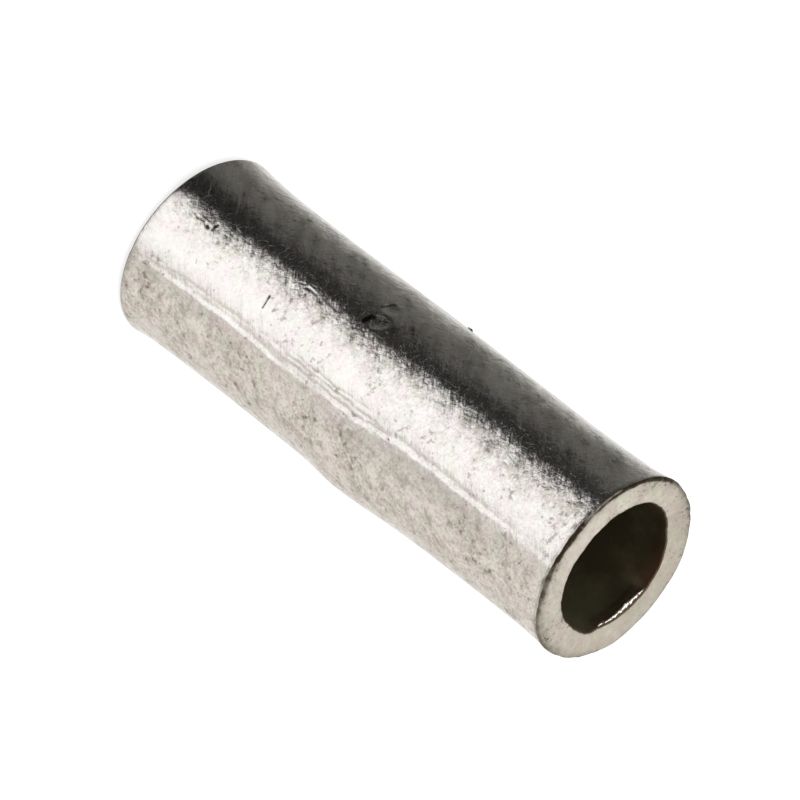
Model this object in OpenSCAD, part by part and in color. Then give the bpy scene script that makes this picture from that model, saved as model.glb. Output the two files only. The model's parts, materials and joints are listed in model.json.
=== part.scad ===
// Butt splice: a one-piece plated copper sleeve. A stripped wire goes in at each end, up to the
// wire stop, and the sleeve is crimped over both.
// The sleeve stands on one end. The bore axis is Z, and the wire stop's punch mark faces -Y.

/* [Sleeve] */
// Length from end face to end face
sleeve_length = 15; // [13:0.5:24]
// Diameter over the flared ends
end_diameter = 5.06; // [5.04:0.02:5.4]
// Diameter of the plain stretch between the flares
waist_diameter = 4.84; // [4.6:0.02:4.9]
// Diameter of the bore that takes the stripped wire
bore_diameter = 3.5; // [3.2:0.05:3.7]

/* [Ends] */
// Length of the flare at the lower end
lower_flare = 1.8; // [0.8:0.1:2.5]
// Length of the flare at the upper end
upper_flare = 1.1; // [0.8:0.1:2.5]
// Radius on the outer edge of each end face
edge_radius = 0.1; // [0.04:0.02:0.2]
// Radius on the mouth of the bore at each end
mouth_radius = 0.08; // [0.04:0.02:0.2]

/* [Wire stop] */
// Height of the punch mark above the sleeve's mid-length
stop_offset = -0.65; // [-0.8:0.05:0.8]
// Radius of the punch's round nose
punch_radius = 0.5; // [0.4:0.02:0.6]
// Depth of the punch mark below the plain stretch
punch_depth = 0.3; // [0.2:0.02:0.36]
// Thickness of metal under the punch mark, which sets how far the stop reaches into the bore
stop_web = 0.66; // [0.6:0.02:0.7]

/* [Swell] */
// Height of the bulge that the punch raised beside the stop, at mid-length
swell_height = 0.1; // [0.04:0.01:0.1]
// Length of the bulge along the sleeve
swell_length = 5; // [3:0.1:7]
// Angle around the sleeve from the punch mark to the top of the bulge
swell_angle = 123; // [90:1:270]
// Depth that the bore widens all round at the stop
belly_depth = 0.05; // [0.03:0.01:0.08]
// Length of the widened bore on the side away from the bulge
belly_length = 3.6; // [3.4:0.1:4.4]

/* [Seam] */
// Angle around the sleeve from the punch mark to the seam
seam_angle = 54; // [20:1:340]
// Width of the seam's groove
seam_width = 0.12; // [0.06:0.02:0.3]
// Depth of the seam's groove
seam_depth = 0.03; // [0.02:0.01:0.06]

/* [Hidden] */

$fn = 96;
tin = [0.80, 0.78, 0.75];
past = 1;                            // how far a cutting shape runs past what it cuts
end_r = end_diameter / 2;
waist_r = waist_diameter / 2;
bore_r = bore_diameter / 2;
middle = sleeve_length / 2;
front = -90;                         // direction of the punch mark around Z
stop_z = middle + stop_offset;
fade = 2 * (swell_height + belly_depth);   // fall of a barrel's side, enough to end inside the wall
punch_r_pos = waist_r + punch_radius - punch_depth;

// Radius of the arc that leaves the plain stretch at the flare's start and meets the edge's round,
// with no kink at either.
function flare_radius(length) =
    (pow(waist_r - end_r + edge_radius, 2) + pow(length - edge_radius, 2) - pow(edge_radius, 2))
    / (2 * (end_r - waist_r));

// Height above the end face at which the edge's round meets the flare.
function round_top(length) =
    edge_radius * (1 + (length - edge_radius) / (flare_radius(length) + edge_radius));

// Radius of an arc that rises by height over a chord of the given length.
function arc_radius(chord, height) = (pow(chord / 2, 2) + pow(height, 2)) / (2 * height);

// Half section of what lies outside the sleeve's side: the plain stretch and the hollow of each flare.
module side_relief() {
    lower = flare_radius(lower_flare);
    upper = flare_radius(upper_flare);
    translate([waist_r, lower_flare])
        square([past, sleeve_length - lower_flare - upper_flare]);
    translate([waist_r + lower, lower_flare])
        circle(lower);
    translate([waist_r + upper, sleeve_length - upper_flare])
        circle(upper);
}

// Half section of the corner that is cut away outside the round on the lower end's edge.
module edge_corner(flare) {
    translate([end_r - edge_radius, 0])
        difference() {
            translate([0, -past])
                square([edge_radius + past, round_top(flare) + past]);
            translate([0, edge_radius])
                circle(edge_radius);
        }
}

// Half section of the blank: a bar with a plain stretch between two flared, rounded ends.
module blank_section() {
    difference() {
        square([end_r, sleeve_length]);
        side_relief();
        edge_corner(lower_flare);
        translate([0, sleeve_length])
            mirror([0, 1])
                edge_corner(upper_flare);
    }
}

// Round body, widest at its own middle, with its side an arc of the given radius that falls by drop
// at either end.
module barrel(radius, arc, drop) {
    half = sqrt(pow(arc, 2) - pow(arc - drop, 2));
    rotate_extrude()
        intersection() {
            translate([0, -half])
                square([radius, 2 * half]);
            translate([radius - arc, 0])
                circle(arc);
        }
}

// The bulge beside the stop: a barrel as wide as the plain stretch, set off-centre, so that it
// stands proud on one side and fades out around the sleeve and along it.
module swell() {
    rotate(front + swell_angle)
        translate([swell_height, 0, middle])
            barrel(waist_r, arc_radius(swell_length, swell_height), fade);
}

// The bore behind the bulge: it leans out with the wall, and is a little wider all round.
module belly() {
    lean = swell_height / 2;
    rotate(front + swell_angle)
        translate([lean, 0, middle])
            barrel(bore_r + lean + belly_depth, arc_radius(belly_length, belly_depth), fade);
}

// Ring cut from the bore's corner at an end face, which leaves the mouth round.
module mouth() {
    rotate_extrude()
        difference() {
            translate([0, -past])
                square([bore_r + mouth_radius, mouth_radius + past]);
            translate([bore_r + mouth_radius, mouth_radius])
                circle(mouth_radius);
        }
}

// Ball at the punch's nose: its own radius for the mark, more by the web for the stop inside.
module punch_ball(radius) {
    rotate(front)
        translate([punch_r_pos, 0, stop_z])
            sphere(radius);
}

// Everything hollow inside the sleeve: the bore from both ends, less the stop that closes part of it.
module hollow() {
    difference() {
        union() {
            translate([0, 0, -past])
                cylinder(r = bore_r, h = sleeve_length + 2 * past);
            belly();
            mouth();
            translate([0, 0, sleeve_length])
                mirror([0, 0, 1])
                    mouth();
        }
        punch_ball(punch_radius + stop_web);
    }
}

// Groove along the closed seam: it follows the side at one depth and runs out at the rounded edges.
module seam() {
    rotate(front + seam_angle)
        rotate([90, 0, 0])
            linear_extrude(seam_width, center = true)
                translate([-seam_depth, 0])
                    side_relief();
}

module splice_sleeve() {
    color(tin)
        difference() {
            union() {
                rotate_extrude()
                    blank_section();
                swell();
            }
            hollow();
            punch_ball(punch_radius);
            seam();
        }
}

splice_sleeve();
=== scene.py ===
"""Looks of a bare butt splice sleeve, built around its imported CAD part: mesh, finishes, stage and camera."""

import json
import logging
import math
from dataclasses import dataclass, field
from enum import Enum
from typing import Any, List, Mapping, Optional, Sequence, Tuple, Union

import bmesh
import bpy
import numpy as np
from mathutils import Matrix, Vector


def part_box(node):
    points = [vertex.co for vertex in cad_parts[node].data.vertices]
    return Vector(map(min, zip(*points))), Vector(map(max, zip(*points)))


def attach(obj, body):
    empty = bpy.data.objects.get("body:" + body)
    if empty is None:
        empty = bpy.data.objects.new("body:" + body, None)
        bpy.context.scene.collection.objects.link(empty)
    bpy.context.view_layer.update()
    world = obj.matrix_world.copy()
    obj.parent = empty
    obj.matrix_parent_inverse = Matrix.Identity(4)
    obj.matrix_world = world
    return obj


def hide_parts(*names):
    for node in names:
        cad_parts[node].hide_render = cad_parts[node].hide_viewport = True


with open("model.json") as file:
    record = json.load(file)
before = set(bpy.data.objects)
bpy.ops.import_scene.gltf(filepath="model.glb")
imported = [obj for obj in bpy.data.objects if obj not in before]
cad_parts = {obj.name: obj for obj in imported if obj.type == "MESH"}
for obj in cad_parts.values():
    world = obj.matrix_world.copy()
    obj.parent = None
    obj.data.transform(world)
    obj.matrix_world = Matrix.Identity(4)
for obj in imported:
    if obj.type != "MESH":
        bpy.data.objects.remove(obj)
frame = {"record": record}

MM = 0.001
NODE = "splice_sleeve"
CROWN = -56.7          # direction around Z, in degrees, of the side's line that faces the camera
LOG = logging.getLogger("scene")

Colour = Tuple[float, float, float]
Points = Sequence[Tuple[float, float]]


# ---------------------------------------------------------------- shader graph

class Wire:
    """A node's output socket, with the operators that put Math nodes behind it."""

    def __init__(self, graph: "Graph", socket: bpy.types.NodeSocket) -> None:
        """Keep the socket.

        Args:
            graph: graph that the socket belongs to.
            socket: output socket of one of its nodes.
        """
        self.graph = graph
        self.socket = socket

    def math(self, operation: str, *others: "Value", clamp: bool = False) -> "Wire":
        """Put a Math node behind the socket.

        Args:
            operation: the Math node's operation.
            others: its second and third inputs, where it has them.
            clamp: whether the result is held from 0 to 1.

        Returns:
            The node's output.
        """
        inputs = dict(enumerate((self,) + others))
        return self.graph.wire("ShaderNodeMath", {"operation": operation, "use_clamp": clamp}, inputs)

    def __add__(self, other: "Value") -> "Wire":
        """Sum."""
        return self.math("ADD", other)

    def __sub__(self, other: "Value") -> "Wire":
        """Difference."""
        return self.math("SUBTRACT", other)

    def __rsub__(self, other: "Value") -> "Wire":
        """Difference from a number."""
        return self.graph.wire("ShaderNodeMath", {"operation": "SUBTRACT"}, {0: other, 1: self})

    def __mul__(self, other: "Value") -> "Wire":
        """Product."""
        return self.math("MULTIPLY", other)

    __radd__ = __add__
    __rmul__ = __mul__

    def step(self, low: float, high: float) -> "Wire":
        """Rise smoothly from 0 at low to 1 at high, or fall where high is below low.

        Args:
            low: value that gives 0.
            high: value that gives 1.

        Returns:
            The eased value.
        """
        ends = (low, high, 0.0, 1.0) if low < high else (high, low, 1.0, 0.0)
        inputs = {"Value": self, "From Min": ends[0], "From Max": ends[1], "To Min": ends[2], "To Max": ends[3]}
        return self.graph.wire("ShaderNodeMapRange", {"interpolation_type": "SMOOTHSTEP"}, inputs)


Value = Union[float, Wire]


class Graph:
    """Node tree of a material or the world."""

    def __init__(self, tree: bpy.types.NodeTree) -> None:
        """Empty the tree and keep it.

        Args:
            tree: node tree to build in.
        """
        tree.nodes.clear()
        self.tree = tree

    def node(self, kind: str, settings: Optional[Mapping[str, Any]] = None,
             inputs: Optional[Mapping[Any, Any]] = None) -> bpy.types.Node:
        """Add a node, set it up and connect it.

        Args:
            kind: the node's type.
            settings: its own properties, or a ramp's stops under "stops".
            inputs: values or wires by socket name or number.

        Returns:
            The new node.
        """
        node = self.tree.nodes.new(kind)
        for name, value in (settings or {}).items():
            if name == "stops":
                self.stops(node.color_ramp, value)
            else:
                setattr(node, name, value)
        for key, value in (inputs or {}).items():
            if isinstance(value, Wire):
                self.tree.links.new(value.socket, node.inputs[key])
            else:
                node.inputs[key].default_value = value
        return node

    @staticmethod
    def stops(ramp: bpy.types.ColorRamp, stops: Sequence[Tuple[float, Colour]]) -> None:
        """Set a ramp's stops.

        Args:
            ramp: ramp to set.
            stops: place and linear colour of each stop, from left to right.
        """
        while len(ramp.elements) > 1:
            ramp.elements.remove(ramp.elements[-1])
        for index, (place, colour) in enumerate(stops):
            element = ramp.elements[0] if index == 0 else ramp.elements.new(place)
            element.position = place
            element.color = (*colour, 1.0)

    def wire(self, kind: str, settings: Optional[Mapping[str, Any]] = None,
             inputs: Optional[Mapping[Any, Any]] = None, output: Any = 0) -> Wire:
        """Add a node and give one of its outputs.

        Args:
            kind: the node's type.
            settings: its own properties.
            inputs: values or wires by socket name or number.
            output: name or number of the output.

        Returns:
            The output as a wire.
        """
        return Wire(self, self.node(kind, settings, inputs).outputs[output])

    def vector(self, operation: str, *inputs: Any, output: Any = 0) -> Wire:
        """Add a Vector Math node.

        Args:
            operation: the node's operation.
            inputs: its vectors, as wires or triples.
            output: name or number of the output.

        Returns:
            The output as a wire.
        """
        return self.wire("ShaderNodeVectorMath", {"operation": operation}, dict(enumerate(inputs)), output)

    def mix(self, share: Value, first: Any, second: Any, blend: str = "MIX") -> Wire:
        """Mix two colours.

        Args:
            share: share of the second colour.
            first: colour or wire.
            second: colour or wire.
            blend: the Mix node's blend type.

        Returns:
            The mixed colour.
        """
        first, second = (c if isinstance(c, Wire) else (*c, 1.0) for c in (first, second))
        settings = {"data_type": "RGBA", "blend_type": blend}
        return self.wire("ShaderNodeMix", settings, {0: share, 6: first, 7: second}, 2)

    def place(self, stretch: Tuple[float, float, float] = (1.0, 1.0, 1.0)) -> Wire:
        """Give the surface point in the part's frame, in millimetres.

        Args:
            stretch: factor along each axis.

        Returns:
            The point as a vector.
        """
        point = self.wire("ShaderNodeTexCoord", output="Object")
        factor = tuple(s / MM for s in stretch)
        return self.vector("MULTIPLY", point, factor)

    def noise(self, point: Wire, scale: float, detail: float = 2.0, rough: float = 0.5, shift: float = 0.0) -> Wire:
        """Give noise around 0.5.

        Args:
            point: where it is read.
            scale: cells per millimetre.
            detail: octaves.
            rough: strength of each finer octave.
            shift: offset that makes another pattern.

        Returns:
            The noise value.
        """
        moved = self.vector("ADD", point, (shift, shift, shift))
        inputs = {"Vector": moved, "Scale": scale, "Detail": detail, "Roughness": rough}
        return self.wire("ShaderNodeTexNoise", {}, inputs)

    def bump(self, height: Wire, depth: float) -> Wire:
        """Give the normal of a fine relief.

        Args:
            height: relief, about from 0 to 1.
            depth: metres that a height of 1 stands for.

        Returns:
            The bent normal.
        """
        return self.wire("ShaderNodeBump", {}, {"Height": height, "Strength": 1.0, "Distance": depth})

    def metal(self, colour: Wire, rough: Wire, height: Wire, depth: float, metallic: float = 1.0) -> Wire:
        """Give a metal surface with a fine relief.

        Args:
            colour: its colour.
            rough: its roughness.
            height: its relief, about from 0 to 1.
            depth: metres that a height of 1 stands for.
            metallic: share of bare metal.

        Returns:
            The shader's output.
        """
        return self.wire("ShaderNodeBsdfPrincipled", {}, {
            "Base Color": colour, "Metallic": metallic, "Roughness": rough, "Normal": self.bump(height, depth)})

    def facets(self, point: Wire, scale: float) -> Wire:
        """Give the height of small flat facets, each with a tilt of its own.

        Args:
            point: where it is read.
            scale: facets per millimetre.

        Returns:
            The height in millimetres, for tilts of up to about half a radian.
        """
        cells = self.node("ShaderNodeTexVoronoi", {}, {"Vector": point, "Scale": scale})
        tilt = self.vector("SUBTRACT", Wire(self, cells.outputs["Color"]), (0.5, 0.5, 0.5))
        local = self.vector("SUBTRACT", point, Wire(self, cells.outputs["Position"]))
        return self.vector("DOT_PRODUCT", tilt, local, output="Value")

    def warped(self, point: Wire, scale: float, reach: float) -> Wire:
        """Bend a point's coordinates, so that what is read there has ragged borders.

        Args:
            point: point to bend.
            scale: bends per millimetre.
            reach: how far the point moves, mm.

        Returns:
            The moved point.
        """
        bend = self.wire("ShaderNodeTexNoise", {}, {"Vector": point, "Scale": scale, "Detail": 2.0}, "Color")
        bend = self.vector("SUBTRACT", bend, (0.5, 0.5, 0.5))
        return self.vector("MULTIPLY_ADD", bend, (reach, reach, reach), point)

    def twisted(self, point: Wire, rate: float, squeeze: float) -> Wire:
        """Twist a point's coordinates around Z and squeeze them along it, which draws out what is read there.

        Args:
            point: point to twist.
            rate: turn per millimetre of height, radians.
            squeeze: factor on the height.

        Returns:
            The moved point.
        """
        height = self.wire("ShaderNodeSeparateXYZ", {}, {0: point}, "Z")
        turned = self.wire("ShaderNodeVectorRotate", {"rotation_type": "Z_AXIS"},
                           {"Vector": point, "Angle": height * rate})
        return self.vector("MULTIPLY", turned, (1.0, 1.0, squeeze))

    def mesh_value(self, name: str) -> Wire:
        """Give a value stored on the mesh's points, by name."""
        return self.wire("ShaderNodeAttribute", {"attribute_name": name}, output="Fac")


# ---------------------------------------------------------------- finishes

@dataclass(frozen=True)
class Finish:
    """What one kind of surface looks like."""

    name: str

    def shader(self, graph: Graph) -> Wire:
        """Build the surface shader.

        Args:
            graph: graph of the new material.

        Returns:
            The shader's output.
        """
        raise NotImplementedError

    def material(self) -> bpy.types.Material:
        """Make the material.

        Returns:
            The finished material.
        """
        material = bpy.data.materials.new(self.name)
        material.use_nodes = True
        graph = Graph(material.node_tree)
        graph.node("ShaderNodeOutputMaterial", {}, {"Surface": self.shader(graph)})
        return material


@dataclass(frozen=True)
class TinPlate(Finish):
    """Bright tumbled tin on the sleeve's side: crumpled relief, pits, dull patches, and dirt with painted shade in the
    marks, beside the fold and along both ends.
    """

    bright: Colour = (0.995, 0.972, 0.95)
    dull: Colour = (0.52, 0.475, 0.415)
    pale: Tuple[Colour, Colour] = ((1.0, 0.970, 0.976), (0.978, 1.0, 0.960))
    # Dark colour for the flecks, the dirt and the painted shade.
    dirt_and_shade: Colour = (0.055, 0.046, 0.034)
    gloss: float = 0.19

    def shader(self, graph: Graph) -> Wire:
        """Build the plate's shader.

        Args:
            graph: graph of the new material.

        Returns:
            The shader's output.
        """
        point = graph.place()
        ragged = graph.warped(point, 7.0, 0.10)
        wear, grime = graph.mesh_value("wear"), graph.mesh_value("grime")
        patch = graph.noise(point, 1.1, 3.0, 0.6, 3.0)
        cloud = graph.noise(point, 3.2, 4.0, 0.65, 11.0)
        grain = graph.noise(ragged, 10.5, 3.0, 0.68, 57.0)
        smear = graph.noise(graph.twisted(point, -0.5, 0.6), 2.2, 3.0, 0.6, 21.0)
        spoil = 0.1 + wear * 0.9
        dull = (grain * 0.58 + cloud * 0.42 + (patch - 0.5) * 0.3).step(0.36, 0.68)
        fleck = graph.noise(ragged, 6.0, 3.0, 0.62, 91.0) + (patch - 0.5) * 0.55 + (cloud - 0.5) * 0.25
        fleck = fleck.step(0.60, 0.72)
        tint = graph.mix(graph.noise(point, 2.4, 2.0, 0.5, 41.0).step(0.38, 0.62), *self.pale)
        colour = graph.mix(dull * spoil * 0.95, self.bright, self.dull)
        colour = graph.mix(fleck * (0.36 + spoil * 0.2), colour, self.dirt_and_shade)
        # The mesh's darkening value mixes in the dark colour: real dirt and smudges, plus painted shade in sunk nicks
        # and lines, beside the fold and along both ends.
        ragged_dirt_and_shade = (grime + (grain - 0.5) * 0.8).step(0.34, 0.78)
        soft_dirt_and_shade = grime * (0.2 + cloud + grain * 0.3) * 0.8
        colour = graph.mix(ragged_dirt_and_shade.math("MAXIMUM", soft_dirt_and_shade), graph.mix(1.0, colour, tint, "MULTIPLY"), self.dirt_and_shade)
        rough = self.gloss + (cloud - 0.4) * 0.2 * spoil + grime * 0.06
        height = (graph.facets(ragged, 5.5) * 0.072 + graph.facets(ragged, 12.0) * 0.027) * wear \
            + smear * (0.060 - wear * 0.042) + cloud * 0.022 + (grain * 0.002 - fleck * 0.001) * spoil
        return graph.metal(colour, rough, height, MM)


@dataclass(frozen=True)
class ShearedTin(Finish):
    """Matt face left by the cut, with fine specks and a little dirt."""

    clean: Colour = (0.69, 0.64, 0.565)
    worn: Colour = (0.51, 0.463, 0.392)
    dirt_and_shade: Colour = (0.075, 0.064, 0.044)
    pale: Tuple[Colour, Colour] = ((1.0, 0.966, 0.972), (0.968, 1.0, 0.965))
    gloss: float = 0.5
    grain_depth: float = 0.004 * MM

    def shader(self, graph: Graph) -> Wire:
        """Build the cut face's shader.

        Args:
            graph: graph of the new material.

        Returns:
            The shader's output.
        """
        point = graph.place()
        grime, wear = graph.mesh_value("grime"), graph.mesh_value("wear")
        patch = graph.noise(point, 1.1, 2.0, 0.6, 7.0)
        grain = graph.noise(point, 9.0, 4.0, 0.7, 19.0)
        speck = graph.noise(graph.warped(point, 9.0, 0.08), 12.0, 3.0, 0.65, 5.0) + (patch - 0.5) * 0.4 + grime * 0.18
        speck = speck.step(0.60, 0.72)
        mottle = graph.noise(point, 3.4, 3.0, 0.62, 61.0)
        share = (patch * 0.25 + mottle * 0.4 + grain * 0.3 + wear * 0.16).step(0.36, 0.66)
        colour = graph.mix(share, self.clean, self.worn)
        tint = graph.mix(graph.noise(point, 2.0, 2.0, 0.5, 29.0).step(0.4, 0.6), *self.pale)
        colour = graph.mix(1.0, colour, tint, "MULTIPLY")
        stain_and_shade = (speck * 0.5 + grime * (0.5 + mottle * 0.6 + grain * 0.4)).math("MINIMUM", 1.0)
        colour = graph.mix(stain_and_shade, colour, self.dirt_and_shade)
        rough = self.gloss + (grain - 0.5) * 0.2
        return graph.metal(colour, rough, grain + patch * 3.0 - speck * 0.7, self.grain_depth)


@dataclass(frozen=True)
class BoreTin(Finish):
    """Dull, browned metal inside the bore."""

    clean: Colour = (0.47, 0.452, 0.30)
    brown: Colour = (0.185, 0.146, 0.088)
    rust: Colour = (0.26, 0.145, 0.095)
    metal: float = 0.78
    gloss: float = 0.5
    grain_depth: float = 0.003 * MM

    def shader(self, graph: Graph) -> Wire:
        """Build the bore's shader.

        Args:
            graph: graph of the new material.

        Returns:
            The shader's output.
        """
        patch = graph.noise(graph.place(), 0.8, 3.0, 0.6, 13.0)
        grain = graph.noise(graph.place(), 6.0, 3.0, 0.6, 23.0)
        share = (graph.mesh_value("grime") + (patch - 0.5) * 1.6 + (grain - 0.5) * 0.25).math("MINIMUM", 1.0)
        colour = graph.mix(share.math("MAXIMUM", 0.0), self.clean, self.brown)
        colour = graph.mix(graph.mesh_value("wear") * (grain + patch).step(0.6, 1.2), colour, self.rust)
        rough = self.gloss + (patch - 0.5) * 0.2
        return graph.metal(colour, rough, grain, self.grain_depth, self.metal)


@dataclass(frozen=True)
class EdgeTin(Finish):
    """Browned metal on the round between side and cut face, with dirt and a painted dark reflection along the rim; worn
    bright where the mesh has neither.
    """

    clean: Colour = (0.58, 0.525, 0.44)
    dark: Colour = (0.055, 0.042, 0.027)
    gloss: float = 0.5
    grain_depth: float = 0.014 * MM

    def shader(self, graph: Graph) -> Wire:
        """Build the edge's shader.

        Args:
            graph: graph of the new material.

        Returns:
            The shader's output.
        """
        grain = graph.noise(graph.place(), 7.0, 3.0, 0.65, 17.0)
        # The mesh's value darkens the round: brown dirt plus a painted dark reflection.
        share = (graph.mesh_value("grime") * (0.4 + grain * 1.2)).math("MINIMUM", 1.0)
        colour = graph.mix(share, self.clean, self.dark)
        return graph.metal(colour, self.gloss + (grain - 0.5) * 0.25, grain, self.grain_depth)


@dataclass(frozen=True)
class BurrTin(Finish):
    """Bright torn metal of the burr at the bore's mouth."""

    bright: Colour = (0.98, 0.96, 0.92)
    dark: Colour = (0.20, 0.145, 0.09)
    gloss: float = 0.2
    grain_depth: float = 0.004 * MM

    def shader(self, graph: Graph) -> Wire:
        """Build the burr's shader.

        Args:
            graph: graph of the new material.

        Returns:
            The shader's output.
        """
        grain = graph.noise(graph.place(), 9.0, 3.0, 0.7, 37.0)
        colour = graph.mix(grain.step(0.50, 0.60), self.bright, self.dark)
        return graph.metal(colour, self.gloss + (grain - 0.5) * 0.1, grain, self.grain_depth)


# ---------------------------------------------------------------- sleeve

def smooth(value: np.ndarray) -> np.ndarray:
    """Ease a value from 0 to 1.

    Args:
        value: values, held from 0 to 1.

    Returns:
        The eased values.
    """
    held = np.clip(value, 0.0, 1.0)
    return held * held * (3.0 - 2.0 * held)


def along(points: Points, place: np.ndarray) -> np.ndarray:
    """Follow a smooth line through points.

    Args:
        points: place and value of each point, in order.
        place: where the line is read.

    Returns:
        The line's values.
    """
    places, values = (np.array(v, float) for v in zip(*points))
    slopes = np.gradient(values, places)
    index = np.clip(np.searchsorted(places, place) - 1, 0, len(places) - 2)
    span = places[index + 1] - places[index]
    t = np.clip((place - places[index]) / span, 0.0, 1.0)
    return (values[index] * (1 + 2 * t) * (1 - t) ** 2 + values[index + 1] * t * t * (3 - 2 * t)
            + span * (slopes[index] * t * (1 - t) ** 2 - slopes[index + 1] * t * t * (1 - t)))


def stations(low: float, high: float, step: float, dense: Sequence[Tuple[float, float, float]] = ()) -> np.ndarray:
    """Space stations along a stretch, closer together in some of its parts.

    Args:
        low: start of the stretch.
        high: end of the stretch.
        step: spacing outside the dense parts.
        dense: start, end and spacing of each dense part, in order.

    Returns:
        The stations, with both ends.
    """
    cuts: List[np.ndarray] = []
    start = low
    for first, last, close in (*dense, (high, high, step)):
        if first > start:
            cuts.append(np.linspace(start, first, max(2, round((first - start) / step) + 1))[:-1])
        if last > first:
            cuts.append(np.linspace(first, last, max(2, round((last - first) / close) + 1))[:-1])
        start = last
    return np.concatenate([*cuts, [high]])


class Zone(Enum):
    """Part of the sleeve's surface, with the number of its finish."""

    SIDE = 0
    EDGE = 1
    FACE = 2
    BORE = 3
    BURR = 4


@dataclass(frozen=True)
class Line:
    """A raised or sunk line on the side: place along it, angle from the crown, and its section."""

    path: Points
    height: float
    width: float
    sharp: float = 0.02
    fade: float = 0.5
    # Darkening along the line: painted shade with some dirt, for the sunk strands along the fold.
    grime: float = 0.0

    def rise(self, z: np.ndarray, phi: np.ndarray, radius: float) -> np.ndarray:
        """Give the line's rise over the side.

        Args:
            z: height of each point, mm.
            phi: angle from the crown, degrees.
            radius: radius of the side, mm.

        Returns:
            Rise from 0 to 1, before the height counts.
        """
        phase = 2.1 * self.path[0][1]
        bend = 0.4 * np.sin(7.3 * z + phase) + 0.25 * np.sin(17.1 * z + 3.0 * phase)
        off = np.radians(phi - along(self.path, z) - bend) * radius
        near = np.exp(-(np.sqrt(off * off + self.sharp ** 2) - self.sharp) / self.width)
        first, last = self.path[0][0], self.path[-1][0]
        broken = 0.7 + 0.3 * np.sin(4.3 * z + 5.0 * phase) + 0.2 * np.sin(11.0 * z + phase)
        return near * broken * smooth((z - first) / self.fade + 0.5) * smooth((last - z) / self.fade + 0.5)


@dataclass(frozen=True)
class Fold:
    """A drawn fold along the side: a step up on the side away from the crown, behind a shallow trough."""

    path: Points
    strength: Points
    stain_and_shade: Points
    rise: float = 0.027
    flank: float = 0.13
    trough: float = 0.012
    lead: float = 0.2
    tail: float = 0.5
    stain_and_shade_width: float = 0.5

    def shape(self, z: np.ndarray, phi: np.ndarray, radius: float) -> Tuple[np.ndarray, np.ndarray]:
        """Give the fold's rise over the side and the painted shade, with some brown stain, behind it.

        Args:
            z: height of each point, mm.
            phi: angle from the crown, degrees.
            radius: radius of the side, mm.

        Returns:
            Rise in mm, and painted shade with stain from 0 to 1.
        """
        bend = 0.35 * np.sin(5.1 * z) + 0.2 * np.sin(13.7 * z + 0.8)
        off = np.radians(phi - along(self.path, z) - bend) * radius
        step = self.rise * smooth((off + self.flank) / self.flank)
        step = step - self.trough * smooth((off + self.flank + self.lead) / self.lead)
        past = np.maximum(off, 0.0)
        # Painted shade, with some brown stain, on the raised side behind the fold.
        dirt_and_shade = along(self.stain_and_shade, z) * np.exp(-past / self.stain_and_shade_width) * smooth(off / 0.08 + 0.5)
        return along(self.strength, z) * step * np.exp(-past / self.tail), dirt_and_shade


@dataclass(frozen=True)
class Dent:
    """A round dent: its middle as height and angle from the crown, its reach along and around, and its depth."""

    middle: Tuple[float, float]
    reach: Tuple[float, float]
    depth: float
    power: float = 1.5

    def share(self, z: np.ndarray, phi: np.ndarray, radius: float) -> np.ndarray:
        """Give how deep each point lies in the dent.

        Args:
            z: height of each point, mm.
            phi: angle from the crown, degrees.
            radius: radius of the side, mm.

        Returns:
            1 at the dent's bottom, 0 outside it.
        """
        turn = (phi - self.middle[1] + 180.0) % 360.0 - 180.0
        off = np.hypot((z - self.middle[0]) / self.reach[0], np.radians(turn) * radius / self.reach[1])
        off = off * (1.0 + 0.08 * np.sin(9.0 * z + 0.21 * phi) + 0.05 * np.sin(23.0 * z - 0.4 * phi))
        return np.clip(1.0 - off * off, 0.0, 1.0) ** self.power


@dataclass(frozen=True)
class Nick:
    """A short straight nick: its two ends as height and angle from the crown, its width, depth, and the darkening in it
    (dirt plus painted shade).
    """

    start: Tuple[float, float]
    end: Tuple[float, float]
    width: float
    depth: float
    grime: float = 0.7

    def share(self, z: np.ndarray, phi: np.ndarray, radius: float) -> np.ndarray:
        """Give how far each point lies inside the nick.

        Args:
            z: height of each point, mm.
            phi: angle from the crown, degrees.
            radius: radius of the side, mm.

        Returns:
            1 along the nick's middle, 0 outside it.
        """
        scale = math.radians(1.0) * radius
        a, b = np.array((self.start[0], self.start[1] * scale)), np.array((self.end[0], self.end[1] * scale))
        run = b - a
        x, y = z - a[0], phi * scale - a[1]
        t = np.clip((x * run[0] + y * run[1]) / max(run @ run, 1e-9), 0.0, 1.0)
        off = np.hypot(x - t * run[0], y - t * run[1])
        return smooth(1.0 - off / self.width)


@dataclass
class Ring:
    """One ring of points around the sleeve, the zone from it to the next ring, and the columns where the burr is."""

    radius: np.ndarray
    height: np.ndarray
    zone: Zone
    grime: np.ndarray
    wear: np.ndarray
    torn: Optional[np.ndarray] = None


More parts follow.
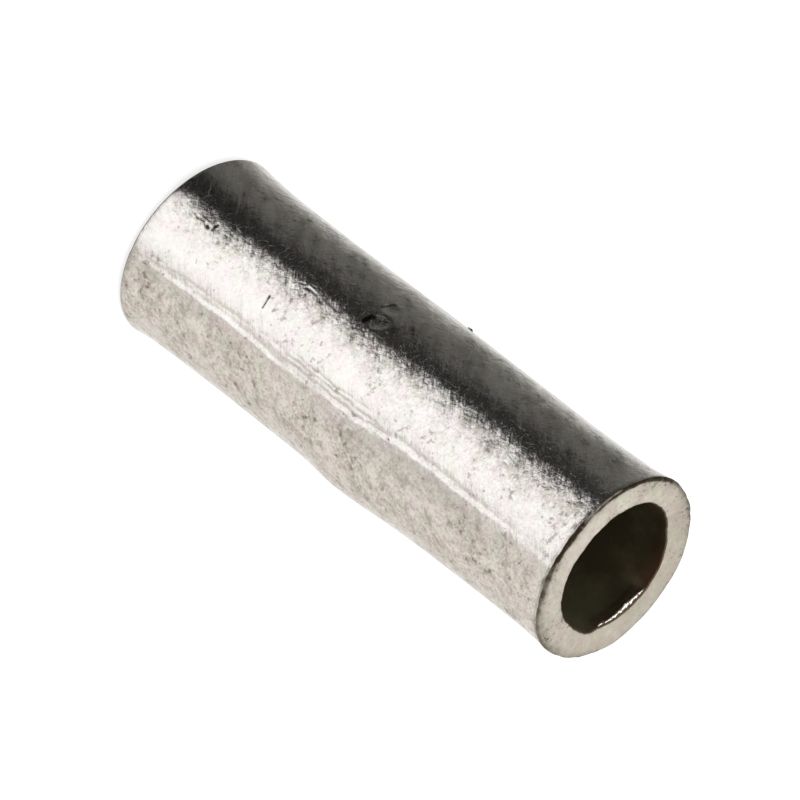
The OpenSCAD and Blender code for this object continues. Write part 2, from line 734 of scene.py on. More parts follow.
@dataclass
class Sleeve:
    """The sleeve: one closed skin around the wall, from side over edge and face into the bore and back."""

    length: float
    end_radius: float
    bore_radius: float
    waist_share: float = 0.9565
    lower_flare: float = 1.8
    upper_flare: float = 1.05
    edge: float = 0.14
    foot_edge: float = 0.17
    mouth: float = 0.04
    face_lean: float = 2.5
    foot_rise: float = 0.08
    rim_slope: float = 0.18
    foot_slope: float = 0.12
    swell_height: float = 0.113
    swell_place: float = 7.4
    swell_turn: float = 88.0
    wave_height: float = 0.0016
    face_fade: float = 2.0
    foot_fade: float = 1.7
    stop_height: float = 6.85
    stop_angle: float = -33.3
    stop_reach: float = 0.30
    stop_spread: float = 0.8
    belly_depth: float = 0.05
    belly_reach: float = 1.2
    burr_reach: float = 0.20
    burr_depth: float = 0.006
    burr_span: Tuple[float, float] = (129.0, 182.0)
    burr_gap: float = 136.5
    burr_thickest: float = 162.0
    brown_level: float = 0.60
    brown_swing: float = 0.52
    brown_turn: float = 60.0
    wave_count: int = 14
    smudge_count: int = 110
    pit_count: int = 44
    seed: int = 7
    upper_side: Points = ((0, 0.015), (1, 0.008), (2, -0.012), (3, -0.02), (6, -0.018), (8, -0.012), (8.6, -0.015),
                          (9.5, -0.035), (11, -0.05), (13, -0.045), (14, -0.02), (15, -0.012))
    lower_side: Points = ((0, -0.05), (0.5, -0.05), (1, -0.03), (2, -0.02), (4, -0.02), (7, -0.02), (10, -0.01),
                          (12, -0.02), (13.4, -0.016), (14.2, 0.0), (15, -0.012))
    wear_around: Points = ((-180, 0.6), (-120, 0.6), (-80, 0.35), (-50, 0.2), (-34, 0.12), (-28, 0.2), (-24, 0.28),
                           (-20, 0.58), (-16, 0.8), (-13, 0.8), (-9, 0.68), (-4, 0.42), (2, 0.22), (10, 0.15),
                           (18, 0.3), (24, 0.5), (30, 0.95), (60, 0.9), (100, 0.8), (180, 0.6))
    # How dark the upper round is around the sleeve: brown dirt plus a painted dark reflection.
    rim_dirt_and_shade: Points = ((-180, 0.45), (-150, 0.45), (-135, 0.5), (-120, 0.75), (-105, 0.55), (-90, 0.6), (-75, 1.0),
                        (-60, 1.1), (-40, 1.1), (-20, 0.95), (0, 1.0), (18, 1.0), (32, 0.7), (45, 0.52),
                        (62, 0.52), (76, 0.52), (90, 0.35), (105, 0.32), (120, 0.5), (140, 0.45), (180, 0.45))
    rim_round: Points = ((-180, 0.3), (-150, 0.35), (-120, 0.9), (-90, 1.0), (-74, 0.78), (0, 0.8), (60, 0.8),
                         (90, 0.95), (110, 0.9), (130, 0.5), (150, 0.32), (180, 0.3))
    foot_round: Points = ((-180, 0.5), (-110, 0.6), (-90, 0.8), (-75, 1.0), (0, 1.0), (25, 0.8), (45, 0.55),
                          (68, 0.35), (100, 0.3), (130, 0.4), (180, 0.5))
    face_dirt: Points = ((-180, 0.3), (-150, 0.3), (-125, 0.66), (-90, 0.45), (-60, 0.3), (-30, 0.42), (0, 0.55),
                         (20, 0.6), (45, 0.7), (75, 0.8), (100, 0.65), (125, 0.5), (150, 0.3), (180, 0.3))
    mouth_rust: Points = ((-180, 1.0), (-150, 1.0), (-100, 0.8), (-70, 0.4), (-30, 0.1), (60, 0.0), (110, 0.2),
                          (140, 0.8), (180, 1.0))
    mouth_waver: Points = ((-180, 0.04), (-150, -0.02), (-135, -0.06), (-120, -0.09), (-108, -0.05), (-90, 0.01),
                           (-65, 0.057), (-40, 0.02), (0, 0.0), (30, 0.0), (60, -0.03), (88, -0.065), (103, -0.03),
                           (113, 0.02), (119, 0.03), (128, -0.02), (150, -0.03), (165, 0.0), (180, 0.04))
    # The fold's third run of points sets how strong the painted shade with stain behind it is.
    fold: Fold = Fold(
        ((0, 27), (0.5, 26), (1, 25.5), (2, 24.7), (3, 24.1), (4, 23.8), (4.5, 24.6), (5, 25.2), (6, 25.6), (7, 24.8),
         (7.5, 25.5), (8.1, 25.6), (8.5, 24.6), (9, 22.7), (9.5, 20.9), (10.2, 20), (11, 20), (12, 20.8), (13, 20.2),
         (14, 21), (15, 22)),
        ((0, 0.5), (0.5, 0.7), (1.1, 1), (5.5, 1), (6.5, 0.6), (8.5, 0.6), (9.5, 0.85), (12.3, 0.85), (13, 0.4),
         (15, 0.3)),
        ((0, 0), (1, 0.08), (7.5, 0.12), (8.5, 0.24), (12, 0.24), (13, 0.08), (15, 0)))
    lines: Tuple[Line, ...] = (
        Line(((0.6, 19.6), (1.0, 19.4), (3.0, 18.0), (4.2, 17.4)), -0.009, 0.03),
        Line(((2.2, 18.4), (3.6, 17.6), (5.4, 15.4)), -0.010, 0.04),
        Line(((5.6, 20.4), (7.0, 20.4), (8.3, 20.8), (9.2, 18.2)), -0.034, 0.035, 0.02, 0.5, 0.28),
        Line(((5.7, 17.5), (7.2, 17.2), (8.6, 17.6)), -0.032, 0.03, 0.02, 0.5, 0.28),
        Line(((5.8, 14.6), (7.4, 14.8), (8.4, 13.0)), -0.022, 0.03, 0.02, 0.5, 0.15),
        Line(((7.0, 22.8), (8.4, 23.0), (9.1, 20.4)), 0.020, 0.03),
        Line(((5.8, 26.8), (7.0, 26.0), (8.2, 27.4), (9.2, 23.0)), -0.012, 0.03, 0.015, 0.5, 0.3),
        Line(((9.4, 16.4), (11.0, 16.4), (12.6, 17.2)), -0.014, 0.04),
        Line(((10.2, 18.0), (11.6, 17.8), (13.4, 17.0)), -0.008, 0.03, 0.02, 0.5, 0.1),
    )
    nicks: Tuple[Nick, ...] = (
        Nick((4.22, -3.5), (4.25, 4.2), 0.05, 0.022, 0.95),
        Nick((4.53, -1.6), (4.55, 2.6), 0.05, 0.008, 0.36),
        Nick((4.87, -2.2), (4.90, 4.0), 0.05, 0.010, 0.4),
        Nick((0.98, -14.7), (1.14, -13.9), 0.035, 0.010, 0.85),
        Nick((1.14, -13.9), (1.20, -14.5), 0.035, 0.010, 0.9),
        Nick((1.20, -14.5), (1.40, -13.8), 0.04, 0.010, 0.9),
        Nick((1.50, -13.3), (1.60, -12.7), 0.085, 0.012, 1.0),
        Nick((1.70, -15.2), (1.72, -17.2), 0.095, 0.012, 1.0),
        Nick((1.70, -13.4), (1.74, -14.4), 0.045, 0.008, 0.7),
        Nick((1.83, -14.6), (1.86, -16.6), 0.045, 0.008, 0.7),
        Nick((1.30, -17.6), (1.24, -20.4), 0.04, 0.012, 0.4),
        Nick((0.82, -17.0), (0.80, -20.0), 0.04, 0.012, 0.4),
        Nick((1.10, -15.9), (1.50, -15.5), 0.03, -0.006, 0.0),
        Nick((2.05, -16.6), (2.50, -16.8), 0.03, -0.005, 0.0),
        Nick((4.78, -19.6), (4.88, -20.6), 0.045, 0.008, 0.5),
        Nick((4.88, -20.6), (5.12, -20.4), 0.04, 0.007, 0.5),
        Nick((4.74, -22.4), (5.08, -21.9), 0.03, -0.006, 0.0),
        Nick((9.25, 20.4), (9.30, 19.8), 0.05, 0.012, 0.7),
        Nick((10.35, 15.6), (10.58, 17.6), 0.06, 0.008, 0.35),
        Nick((6.54, -40.0), (6.57, -44.0), 0.08, 0.006, 0.8),
        Nick((6.57, -44.0), (6.66, -48.0), 0.07, 0.006, 0.8),
        Nick((6.60, -26.0), (6.66, -31.5), 0.18, 0.003, 0.9),
        Nick((6.84, -22.8), (7.05, -26.5), 0.03, -0.006, 0.0),
        Nick((7.05, -26.5), (7.32, -33.0), 0.03, -0.006, 0.0),
        Nick((7.70, -88.6), (7.84, -88.0), 0.035, -0.045, 1.0),
        Nick((7.94, 66.2), (7.96, 66.9), 0.04, 0.015, 1.0),
    )
    dents: Tuple[Dent, ...] = (
        Dent((6.85, -37.0), (1.5, 1.15), 0.035, 3.0),
        Dent((6.90, -31.0), (0.32, 0.32), 0.04),
        Dent((6.76, -43.5), (0.26, 0.24), 0.035),
    )

    def __post_init__(self) -> None:
        """Set the waist, and from the seed the slow waves of the skin and the smudges on it."""
        self.waist = self.end_radius * self.waist_share
        draw = np.random.default_rng(self.seed)
        self.waves = [(draw.integers(3, 9), draw.uniform(0.5, 2.4), draw.uniform(0, 2 * math.pi),
                       draw.uniform(0.4, 1.0)) for _ in range(self.wave_count)]
        smudge = ((0.3, 14.7), (-68, -29), (0.12, 0.5), (0.08, 0.26), (0.2, 0.6))
        pit = ((0.3, 14.5), (29, 60), (0.07, 0.14), (0.06, 0.13), (0.3, 0.75))
        self.smudges = [tuple(draw.uniform(*ends) for ends in kind)
                        for kind, count in ((smudge, self.smudge_count), (pit, self.pit_count)) for _ in range(count)]

    def side(self, z: np.ndarray, phi: np.ndarray) -> Tuple[np.ndarray, np.ndarray]:
        """Give the radius of the side and its darkening: dirt, plus painted shade in the marks, beside the fold and at
        both ends.

        Args:
            z: height of each point, mm.
            phi: angle from the crown, degrees.

        Returns:
            Radius in mm, and dirt with painted shade from 0 to 1.
        """
        low = np.clip((self.lower_flare - z) / self.lower_flare, 0.0, 1.0)
        high = np.clip((z - self.length + self.upper_flare) / self.upper_flare, 0.0, 1.0)
        radius = self.waist + (self.end_radius - self.waist) * (low ** 2 + high ** 2)
        across = np.sin(np.radians(phi))
        radius = radius + across ** 2 * np.where(across < 0, along(self.upper_side, z), along(self.lower_side, z))
        around = np.clip(np.cos(np.radians(phi - self.swell_turn)), 0.0, 1.0) ** 1.6
        off = z - self.swell_place
        rise = np.where(off < 0.0, np.exp(-(off / 0.75) ** 2) * 0.6 + np.exp(-(off / 1.7) ** 2) * 0.4,
                        np.exp(-(off / 1.75) ** 2))
        radius = radius + self.swell_height * rise * around
        for turns, rate, phase, size in self.waves:
            radius = radius + self.wave_height * size * np.sin(turns * np.radians(phi) + rate * z + phase)
        # The fold adds painted shade, with some stain, behind it.
        rise, grime = self.fold.shape(z, phi, self.waist)
        radius = radius + rise
        # Sunk lines along the fold carry painted shade, with some dirt, in their grooves.
        for line in self.lines:
            rise = line.rise(z, phi, self.waist)
            radius = radius + line.height * rise
            grime = np.maximum(grime, line.grime * rise)
        # Sunk nicks are darkened inside: dirt plus painted shade in the groove; raised ones stay clean.
        for nick in self.nicks:
            share = nick.share(z, phi, self.waist)
            radius = radius - nick.depth * share
            grime = np.maximum(grime, nick.grime * share)
        for dent in self.dents:
            radius = radius - dent.depth * dent.share(z, phi, self.waist)
        for place, turn, length, width, dark in self.smudges:
            x, y = z - place, np.radians(phi - turn) * self.waist
            lean = y - 0.8 * x
            grime = np.maximum(grime, dark * np.exp(-(x / length) ** 2 - (lean / width) ** 2))
        # The side darkens toward both ends. Just below the upper round this is dirt plus a painted dark reflection,
        # like the round itself. At the lower end it is grime plus painted shade where the round turns toward the floor.
        ragged = 1.0 + 0.35 * np.sin(0.31 * phi) + 0.3 * np.sin(0.83 * phi + 1.0) + 0.3 * np.sin(1.9 * phi)
        foot = 0.75 * np.exp(-z / (0.08 * ragged + 0.04))
        head = 0.45 * np.exp(-(self.length - self.edge - z) / (0.03 * ragged + 0.01))
        return radius, np.maximum(grime, np.maximum(foot, head))

    def wear(self, z: np.ndarray, phi: np.ndarray) -> np.ndarray:
        """Give how worn and rough the side is.

        Args:
            z: height of each point, mm.
            phi: angle from the crown, degrees.

        Returns:
            Wear from 0 to 1.
        """
        near = smooth((z - 7.0) / 4.0) * np.exp(-(phi / 18.0) ** 2)
        pressed = sum(dent.share(z, phi, self.waist) for dent in self.dents[1:])
        return np.clip(along(self.wear_around, phi) + 0.25 * near + 0.25 * pressed, 0.0, 1.0)

    def bore(self, z: np.ndarray, phi: np.ndarray) -> np.ndarray:
        """Give the radius of the bore.

        Args:
            z: height of each point, mm.
            phi: angle from the crown, degrees.

        Returns:
            Radius in mm.
        """
        turn = (phi - self.stop_angle + 180.0) % 360.0 - 180.0
        off = np.hypot(z - self.stop_height, np.radians(turn) * self.bore_radius) / self.stop_spread
        belly = self.belly_depth * np.exp(-((z - self.length / 2) / self.belly_reach) ** 2)
        return self.bore_radius + belly - self.stop_reach * np.sqrt(np.clip(1.0 - off * off, 0.0, 1.0))

    def top(self, radius: np.ndarray, phi: np.ndarray) -> np.ndarray:
        """Give the height of the upper end face, which is cut a little off square.

        Args:
            radius: distance of each point from the axis, mm.
            phi: angle from the crown, degrees.

        Returns:
            Height in mm.
        """
        turn = np.radians(phi)
        wobble = 0.008 * np.sin(3 * turn + 0.7) + 0.006 * np.sin(7 * turn + 2.1) + 0.004 * np.sin(13 * turn)
        return self.length + math.tan(math.radians(self.face_lean)) * radius * np.cos(turn) + wobble

    def foot(self, radius: np.ndarray, phi: np.ndarray) -> np.ndarray:
        """Give the height of the lower end face, which is cut off square too and stands on its far rim.

        Args:
            radius: distance of each point from the axis, mm.
            phi: angle from the crown, degrees.

        Returns:
            Height in mm.
        """
        return self.foot_rise * (0.5 + 0.5 * radius / self.end_radius * np.cos(np.radians(phi)))

    def burr(self, phi: np.ndarray) -> Tuple[np.ndarray, np.ndarray]:
        """Give the reach of the burr that the cut left in the upper mouth.

        Args:
            phi: angle from the crown, degrees.

        Returns:
            Share of the burr's full reach, at its torn lip and at its root below.
        """
        turn, past = np.radians(phi), phi % 360.0
        ragged = 0.68 + 0.10 * np.sin(23 * turn) + 0.09 * np.sin(47 * turn + 1.3) + 0.05 * np.sin(97 * turn + 0.4)
        first, last = self.burr_span
        span = smooth((past - first) / 4.0) * smooth((last - past) / 7.0)
        gap = 1.0 - np.exp(-((past - self.burr_gap) / 1.6) ** 2)
        thick = 0.38 + 0.62 * np.exp(-((past - self.burr_thickest) / 12.0) ** 2)
        return span * gap * thick * np.clip(ragged, 0.05, 1.0), span * thick * 0.62

    def side_rings(self, phi: np.ndarray) -> List[Ring]:
        """Make the rings of the side, from the lower end up.

        Args:
            phi: angle from the crown of each column, degrees.

        Returns:
            The rings.
        """
        rings: List[Ring] = []
        dense = ((0.17, 0.4, 0.04), (0.9, 1.95, 0.04), (4.1, 5.2, 0.035), (6.25, 7.45, 0.045), (7.62, 8.05, 0.04),
                 (14.6, 14.86, 0.03))
        shift = self.top(np.full_like(phi, self.end_radius), phi) - self.length
        rise = self.foot(np.full_like(phi, self.end_radius), phi)
        for z in stations(self.foot_edge, self.length - self.edge, 0.1, dense):
            lift = smooth(np.array((z - self.length + self.face_fade) / (self.face_fade - self.edge)))
            sink = smooth(np.array((self.foot_fade - z) / (self.foot_fade - self.foot_edge)))
            flat = np.full_like(phi, z)
            radius, grime = self.side(flat, phi)
            rings.append(Ring(radius, z + lift * shift + sink * rise, Zone.SIDE, grime, self.wear(flat, phi)))
        return rings

    def end_rings(self, phi: np.ndarray, rim: np.ndarray) -> List[Ring]:
        """Make the rings of the upper end: edge, cut face, mouth and burr.

        Args:
            phi: angle from the crown of each column, degrees.
            rim: radius of the side where the edge's round starts.

        Returns:
            The rings.
        """
        rings: List[Ring] = []
        zero = np.zeros_like(phi)
        turn = np.radians(phi)
        # Darkness of the upper round: brown dirt plus a painted dark reflection, ragged around the sleeve.
        stain_and_shade = np.clip(along(self.rim_dirt_and_shade, phi) + 0.10 * np.sin(9 * turn + 1.0) + 0.10 * np.sin(31 * turn), 0.0, 1.1)
        ragged = 1.0 + 0.12 * np.sin(11 * turn + 2.0) + 0.09 * np.sin(29 * turn) + 0.06 * np.sin(53 * turn + 1.0)
        edge = self.edge * along(self.rim_round, phi) * ragged
        rim = rim + self.rim_slope * (self.edge - edge) + 0.03 * np.clip(-np.cos(turn), 0.0, 1.0) ** 2
        shine = smooth((phi + 42.0) / 8.0) * smooth((-8.0 - phi) / 8.0)
        shine = shine * (0.8 + 0.2 * np.sin(47 * turn) + 0.15 * np.sin(83 * turn))
        dirty = along(self.face_dirt, phi) * (1.0 + 0.15 * np.sin(19 * turn + 2.0) + 0.12 * np.sin(43 * turn))
        for degrees in range(10, 100, 10):
            bend = math.radians(degrees)
            radius = rim - edge * (1 - math.cos(bend))
            height = self.top(radius, phi) - edge * (1 - math.sin(bend))
            fall = smooth(np.array((98 - degrees) / 35.0))
            dark = stain_and_shade * smooth(np.array((degrees - 2) / 20.0)) * fall + 0.6 * dirty * (1.0 - fall)
            dark = dark * (1.0 - shine) if 25 < degrees < 45 else dark
            rings.append(Ring(radius, height, Zone.EDGE, dark, zero))
        rings[-1].zone = Zone.FACE
        outer, inner = rings[-1].radius, self.bore_radius + self.mouth + self.waver(phi)
        worn = 0.5 - 0.5 * np.cos(turn)
        for inset, dirt_and_shade in ((0.02, 0.5), (0.05, 0.38), (0.09, 0.26), (0.13, 0.17)):
            rings.append(Ring(outer - inset, self.top(outer - inset, phi), Zone.FACE, dirt_and_shade * dirty, worn))
        start = rings[-1].radius
        for share in np.linspace(0.0, 1.0, 11)[1:]:
            radius = start * (1 - share) + inner * share
            dirt_and_shade = dirty * 0.14 * (1 - share) ** 2 + 0.12 * share ** 8
            rings.append(Ring(radius, self.top(radius, phi), Zone.FACE, dirt_and_shade, worn))
        brown, rust = self.browning(phi), along(self.mouth_rust, phi)
        for degrees in range(18, 100, 18):
            bend = math.radians(degrees)
            radius = inner - self.mouth * math.sin(bend)
            height = self.top(radius, phi) - self.mouth * (1 - math.cos(bend))
            rings[-1].zone = Zone.FACE if degrees < 40 else Zone.BORE
            rings.append(Ring(radius, height, Zone.BORE, np.maximum(brown, 0.9), rust))
        lip, root = self.burr(phi)
        burr = lip > 0.03
        wall = inner - self.mouth
        ledge = self.top(wall, phi) - self.mouth - self.burr_depth
        teeth = np.sin(61 * turn + 0.6) + 0.8 * np.sin(103 * turn) + 0.5 * np.sin(37 * turn + 2.0) > 0.2
        torn = (burr & teeth, burr)
        shape = ((0.0, 0.0), (0.35, 0.004), (1.0, 0.008), (0.97, 0.05), (0.85, 0.13), (0.55, 0.22), (0.2, 0.33))
        for index, (share, drop) in enumerate(shape):
            blend = smooth(np.array((drop - 0.02) / 0.42))
            reach = lip if drop < 0.04 else root
            radius = wall * (1 - blend) + self.bore_radius * blend - self.burr_reach * share * reach
            deep = smooth(np.array(1.0 - drop / 0.6))
            rings.append(Ring(radius, ledge - drop, Zone.BORE, np.maximum(brown, 0.9 * deep * rust), rust * deep,
                              torn[index] if index < len(torn) else None))
        return rings

    def waver(self, phi: np.ndarray) -> np.ndarray:
        """Give how far the upper mouth strays from a circle.

        Args:
            phi: angle from the crown, degrees.

        Returns:
            Change of radius, mm.
        """
        turn = np.radians(phi)
        return along(self.mouth_waver, phi) + 0.006 * np.sin(17 * turn + 4.0) + 0.005 * np.sin(41 * turn + 2.0)

    def browning(self, phi: np.ndarray) -> np.ndarray:
        """Give how brown the bore is.

        Args:
            phi: angle from the crown, degrees.

        Returns:
            Browning from 0 to 1.
        """
        return np.clip(self.brown_level - self.brown_swing * np.cos(np.radians(phi - self.brown_turn)), 0.0, 1.0)

    def foot_rings(self, phi: np.ndarray, foot: np.ndarray) -> List[Ring]:
        """Make the rings of the bore and of the lower end, down, across its face and up to the side.

        Args:
            phi: angle from the crown of each column, degrees.
            foot: radius of the side where the lower edge's round starts.

        Returns:
            The rings.
        """
        rings: List[Ring] = []
        zero = np.zeros_like(phi)
        for z in stations(0.4, self.length - 0.5, 0.5, ((5.9, 7.8, 0.12),))[::-1]:
            rings.append(Ring(self.bore(zero + z, phi), zero + z, Zone.BORE, self.browning(phi), zero))
        inner = np.full_like(phi, self.bore_radius + self.mouth)
        for bend in np.linspace(math.pi / 2, 0.0, 6):
            radius = inner - self.mouth * math.sin(bend)
            height = self.foot(radius, phi) + self.mouth * (1 - math.cos(bend))
            rings.append(Ring(radius, height, Zone.BORE, zero, zero))
        rings[-1].zone = Zone.FACE
        edge = self.foot_edge * along(self.foot_round, phi)
        foot = foot + self.foot_slope * (self.foot_edge - edge)
        for share in np.linspace(0.0, 1.0, 6)[1:]:
            radius = inner * (1 - share) + (foot - edge) * share
            rings.append(Ring(radius, self.foot(radius, phi), Zone.FACE, zero, zero))
        rings[-1].zone = Zone.SIDE
        for bend in np.linspace(math.pi / 2, 0.0, 9)[1:-1]:
            radius = foot - edge * (1 - math.cos(bend))
            height = self.foot(radius, phi) + edge * (1 - math.sin(bend))
            # The lower round carries grime plus painted shade along the lower end.
            rings.append(Ring(radius, height, Zone.SIDE, zero + 0.4, zero + 0.6))
        return rings

    def mesh(self) -> bpy.types.Mesh:
        """Build the closed skin.

        Returns:
            The mesh, with a finish number per face, and per point its darkening (dirt with painted shade) and wear.
        """
        dense = ((-180.0, -172.0, 1.0), (-96.0, -80.0, 0.8), (-52.0, -11.0, 0.75), (-6.0, 7.0, 0.8), (12.0, 31.0, 0.45),
                 (65.0, 68.5, 0.5), (124.0, 180.0, 0.75))
        phi = stations(-180.0, 180.0, 2.5, dense)[:-1]
        side = self.side_rings(phi)
        rings = side + self.end_rings(phi, side[-1].radius) + self.foot_rings(phi, side[0].radius)
        turn = np.radians(CROWN + phi)
        columns = len(phi)
        shell = bmesh.new()
        grid = [[shell.verts.new((r * c * MM, r * s * MM, h * MM))
                 for r, c, s, h in zip(ring.radius, np.cos(turn), np.sin(turn), ring.height)] for ring in rings]
        for index, ring in enumerate(rings):
            lower, upper = grid[index], grid[(index + 1) % len(grid)]
            for column in range(columns):
                after = (column + 1) % columns
                face = shell.faces.new((lower[column], lower[after], upper[after], upper[column]))
                zone = Zone.BURR if ring.torn is not None and ring.torn[column] else ring.zone
                face.material_index = zone.value
                face.smooth = True
        bmesh.ops.recalc_face_normals(shell, faces=shell.faces)
        mesh = bpy.data.meshes.new("splice_sleeve_skin")
        shell.to_mesh(mesh)
        shell.free()
        for name in ("grime", "wear"):
            values = np.concatenate([getattr(ring, name) for ring in rings])
            mesh.attributes.new(name, "FLOAT", "POINT").data.foreach_set("value", values.astype(np.float32))
        return mesh

    def build(self) -> bpy.types.Object:
        """Build and dress the sleeve, and set it on its CAD node.

        Returns:
            The sleeve's object.
        """
        mesh = self.mesh()
        for finish in (TinPlate("tin_side"), EdgeTin("tin_edge"), ShearedTin("tin_cut_face"), BoreTin("tin_bore"),
                       BurrTin("tin_burr")):
            mesh.materials.append(finish.material())
        piece = bpy.data.objects.new("splice_sleeve_tin", mesh)
        bpy.context.scene.collection.objects.link(piece)
        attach(piece, "root")
        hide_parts(NODE)
        return piece


# ---------------------------------------------------------------- stage

@dataclass(frozen=True)
class PaleFloor(Finish):
    """White floor: part of its white is lit and takes the shadow, the rest is plain for the camera."""

    lit: Colour = (0.8, 0.8, 0.8)
    plain: float = 0.75

    def shader(self, graph: Graph) -> Wire:
        """Build the floor's shader.

        Args:
            graph: graph of the new material.

        Returns:
            The shader's output.
        """
        seen = graph.wire("ShaderNodeLightPath", output="Is Camera Ray")
        plain = graph.wire("ShaderNodeEmission", {}, {"Color": (1.0, 1.0, 1.0, 1.0), "Strength": seen * self.plain})
        lit = graph.wire("ShaderNodeBsdfDiffuse", {}, {"Color": (*self.lit, 1.0)})
        return graph.wire("ShaderNodeAddShader", {}, {0: lit, 1: plain})


@dataclass(frozen=True)
class ToneCard(Finish):
    """Glowing card, seen only in reflections, with a run of tones from one side to the other: the painted reflection of
    light and dark that the metal shows.
    """

    tones: Tuple[Tuple[float, Colour], ...] = ()

    def shader(self, graph: Graph) -> Wire:
        """Build the card's shader.

        Args:
            graph: graph of the new material.

        Returns:
            The shader's output.
        """
        across = graph.wire("ShaderNodeSeparateXYZ", {}, {0: graph.wire("ShaderNodeTexCoord", output="UV")})
        tone = graph.wire("ShaderNodeValToRGB", {"stops": self.tones}, {0: across})
        return graph.wire("ShaderNodeEmission", {}, {"Color": tone, "Strength": 1.0})


@dataclass(frozen=True)
class Lamp:
    """A soft lamp that looks at the sleeve: direction in degrees from the crown and above the floor, and metres."""

    name: str
    azimuth: float
    elevation: float
    size: Tuple[float, float]
    level: float
    distance: float = 0.30
    mirrored: bool = True


@dataclass
class Stage:
    """Floor, cards, lamps and world of a plain white studio."""

    start: float
    floor_size: float = 2.0
    card_reach: float = 150.0
    floor_drop: float = 0.01 * MM
    card_lift: float = 0.02 * MM
    seen_level: float = 0.96
    mirrored_level: float = 0.46
    room_level: float = 0.04
    # Glow of the card by angle from the crown, the painted reflection on the side: white, near-black, white and grey
    # tones.
    tones: Tuple[Tuple[float, float], ...] = (
        (-90, 1.0), (-84, 0.98), (-79, 0.86), (-75, 0.55), (-70, 0.34), (-64, 0.20), (-58, 0.118), (-52, 0.124),
        (-46, 0.105), (-40, 0.077), (-34, 0.024), (-28, 0.014), (-19.3, 0.015), (-15.2, 0.83), (-11.8, 1.04),
        (-7, 1.05), (-2, 1.05), (9, 1.05), (14, 0.97), (20, 0.88), (24, 0.64), (27, 0.61), (33, 0.71), (40, 0.75),
        (60, 0.72), (70, 0.68), (75, 0.72), (80, 0.90), (84, 0.98), (90, 1.0))
    tints: Tuple[Tuple[float, Colour], ...] = (
        (-74, (1.0, 1.0, 0.985)), (-20, (1.025, 1.0, 0.94)), (22, (1.012, 1.0, 1.005)), (78, (1.055, 1.0, 0.945)),
        (91, (1.0, 1.0, 0.98)))
    lamps: Tuple[Lamp, ...] = (
        Lamp("back_softbox", azimuth=180.0, elevation=58.0, size=(0.50, 0.34), level=1.0),
        Lamp("front_fill", azimuth=0.0, elevation=60.0, size=(0.40, 0.30), level=0.8, mirrored=False))
    parts: List[bpy.types.Object] = field(default_factory=list)

    def keep(self, thing: bpy.types.Object) -> bpy.types.Object:
        """Link a thing to the scene as part of the stage.

        Args:
            thing: new object.

        Returns:
            The same object.
        """
        bpy.context.scene.collection.objects.link(thing)
        self.parts.append(thing)
        return thing

    def floor(self) -> bpy.types.Object:
        """Lay the floor.

        Returns:
            The floor's object.
        """
        half = self.floor_size / 2
        mesh = bpy.data.meshes.new("floor")
        mesh.from_pydata([(-half, -half, 0), (half, -half, 0), (half, half, 0), (-half, half, 0)], [], [(0, 1, 2, 3)])
        mesh.materials.append(PaleFloor("pale_floor").material())
        floor = self.keep(bpy.data.objects.new("floor", mesh))
        floor.location.z = -self.floor_drop
        return floor

    def card(self) -> bpy.types.Object:
        """Lay the card that gives the metal its run of light and dark.

        Each line of the card leaves the sleeve's side where that tone is to show, in the direction in which the
        side reflects there, so a tone keeps its place along the whole sleeve.

        Returns:
            The card's object.
        """
        angles = np.linspace(-90.0, 90.0, 121)
        reach = self.card_reach * np.linspace(0.0, 1.0, 14) ** 2
        turn, out = np.meshgrid(np.radians(angles), reach, indexing="ij")
        crown = math.radians(CROWN)
        x = self.start * np.cos(crown + turn) + out * np.cos(crown + 2 * turn)
        y = self.start * np.sin(crown + turn) + out * np.sin(crown + 2 * turn)
        points = np.stack([x * MM, y * MM, np.full_like(x, self.card_lift)], -1).reshape(-1, 3)
        rows = len(reach)
        faces = [(i * rows + j, i * rows + j + 1, (i + 1) * rows + j + 1, (i + 1) * rows + j)
                 for i in range(len(angles) - 1) for j in range(rows - 1)]
        mesh = bpy.data.meshes.new("tone_card")
        mesh.from_pydata(points.tolist(), [], faces)
        layer = mesh.uv_layers.new(name="UVMap")
        share = np.repeat((angles + 90.0) / 180.0, rows)
        for loop in mesh.loops:
            layer.data[loop.index].uv = (share[loop.vertex_index], 0.5)
        tones = tuple(((a + 90.0) / 180.0, tuple(t * w for w in next(tint for end, tint in self.tints if a < end)))
                      for a, t in self.tones)
        mesh.materials.append(ToneCard("tone_card", tones).material())
        card = self.keep(bpy.data.objects.new("tone_card", mesh))
        for ray in ("camera", "diffuse", "shadow", "transmission", "volume_scatter"):
            setattr(card, "visible_" + ray, False)
        return card

    def hang(self, lamp: Lamp) -> bpy.types.Object:
        """Hang a soft lamp.

        Args:
            lamp: what it is; its level is how bright its face looks, where 1 is white.

        Returns:
            The lamp's object.
        """
        data = bpy.data.lights.new(lamp.name, "AREA")
        data.shape = "RECTANGLE"
        data.size, data.size_y = lamp.size
        data.energy = lamp.level * math.pi * lamp.size[0] * lamp.size[1]
        thing = self.keep(bpy.data.objects.new(lamp.name, data))
        a, e = math.radians(CROWN + lamp.azimuth), math.radians(lamp.elevation)
        way = Vector((math.cos(a) * math.cos(e), math.sin(a) * math.cos(e), math.sin(e)))
        thing.location = way * lamp.distance
        thing.rotation_euler = way.to_track_quat("Z", "Y").to_euler()
        thing.visible_glossy = lamp.mirrored
        return thing

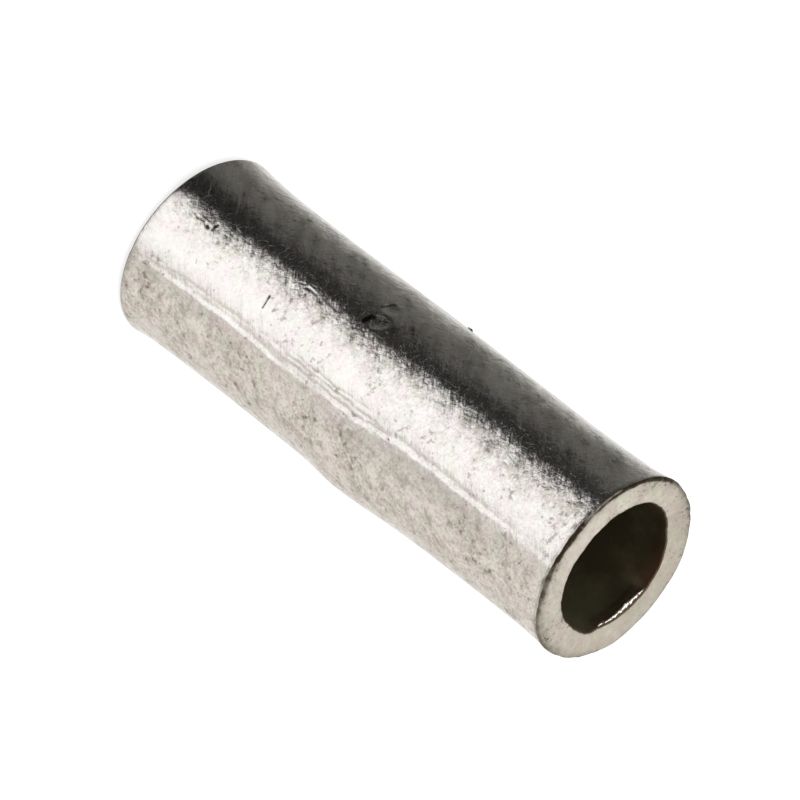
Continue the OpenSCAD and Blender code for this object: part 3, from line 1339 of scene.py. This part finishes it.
    def world(self) -> None:
        """Set the world: white for the camera, paler in reflections, dim for everything else."""
        world = bpy.data.worlds.new("studio")
        world.use_nodes = True
        graph = Graph(world.node_tree)
        seen = graph.wire("ShaderNodeLightPath", output="Is Camera Ray")
        mirrored = graph.wire("ShaderNodeLightPath", output="Is Glossy Ray")
        level = seen * self.seen_level + mirrored * self.mirrored_level + self.room_level
        sky = graph.wire("ShaderNodeBackground", {}, {"Color": (1.0, 1.0, 1.0, 1.0), "Strength": level})
        graph.node("ShaderNodeOutputWorld", {}, {"Surface": sky})
        bpy.context.scene.world = world

    def build(self) -> None:
        """Set up the whole stage."""
        self.floor()
        self.card()
        for lamp in self.lamps:
            self.hang(lamp)
        self.world()


@dataclass(frozen=True)
class Shot:
    """The camera: where it stands around the sleeve's middle, its roll and its lens."""

    middle: Vector
    azimuth: float = 33.3
    elevation: float = 33.019
    roll: float = 127.54
    distance: float = 240.0 * MM
    lens: float = 454.45
    aside: float = -0.0486 * MM
    above: float = 0.1193 * MM

    def build(self) -> bpy.types.Object:
        """Set up the camera and make it the scene's.

        Returns:
            The camera's object.
        """
        a, e, r = (math.radians(v) for v in (self.azimuth, self.elevation, self.roll))
        back = Vector((math.sin(a) * math.cos(e), -math.cos(a) * math.cos(e), math.sin(e)))
        level = Vector((math.cos(a), math.sin(a), 0.0))
        rise = back.cross(level)
        right = math.cos(r) * level + math.sin(r) * rise
        up = -math.sin(r) * level + math.cos(r) * rise
        data = bpy.data.cameras.new("camera")
        data.lens, data.sensor_width, data.clip_start = self.lens, 36.0, 0.01
        camera = bpy.data.objects.new("camera", data)
        turn = Matrix((right, up, back)).transposed().to_4x4()
        camera.matrix_world = Matrix.Translation(
            self.middle + back * self.distance + right * self.aside + up * self.above) @ turn
        bpy.context.scene.collection.objects.link(camera)
        bpy.context.scene.camera = camera
        return camera


# ---------------------------------------------------------------- main

def main() -> None:
    """Build the sleeve and the stage."""
    logging.basicConfig(level=logging.INFO, format="%(name)s: %(message)s")
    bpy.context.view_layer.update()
    low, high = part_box(NODE)
    mounts = {m["name"]: m for m in frame["record"]["mounts"]}
    bore = mounts["wire_bore_upper"]["dims"]["r_mm"]
    sleeve = Sleeve(length=(high.z - low.z) / MM, end_radius=-low.x / MM, bore_radius=bore)
    piece = sleeve.build()
    LOG.info("%s: %d faces", piece.name, len(piece.data.polygons))
    stage = Stage(start=sleeve.end_radius * 0.985)
    stage.build()
    LOG.info("stage: %s", ", ".join(p.name for p in stage.parts))
    camera = Shot(middle=(low + high) / 2).build()
    LOG.info("%s: %.1f mm lens", camera.name, camera.data.lens)
    bpy.context.scene.view_settings.view_transform = "Standard"
    bpy.context.view_layer.update()


if __name__ == "__main__":
    main()
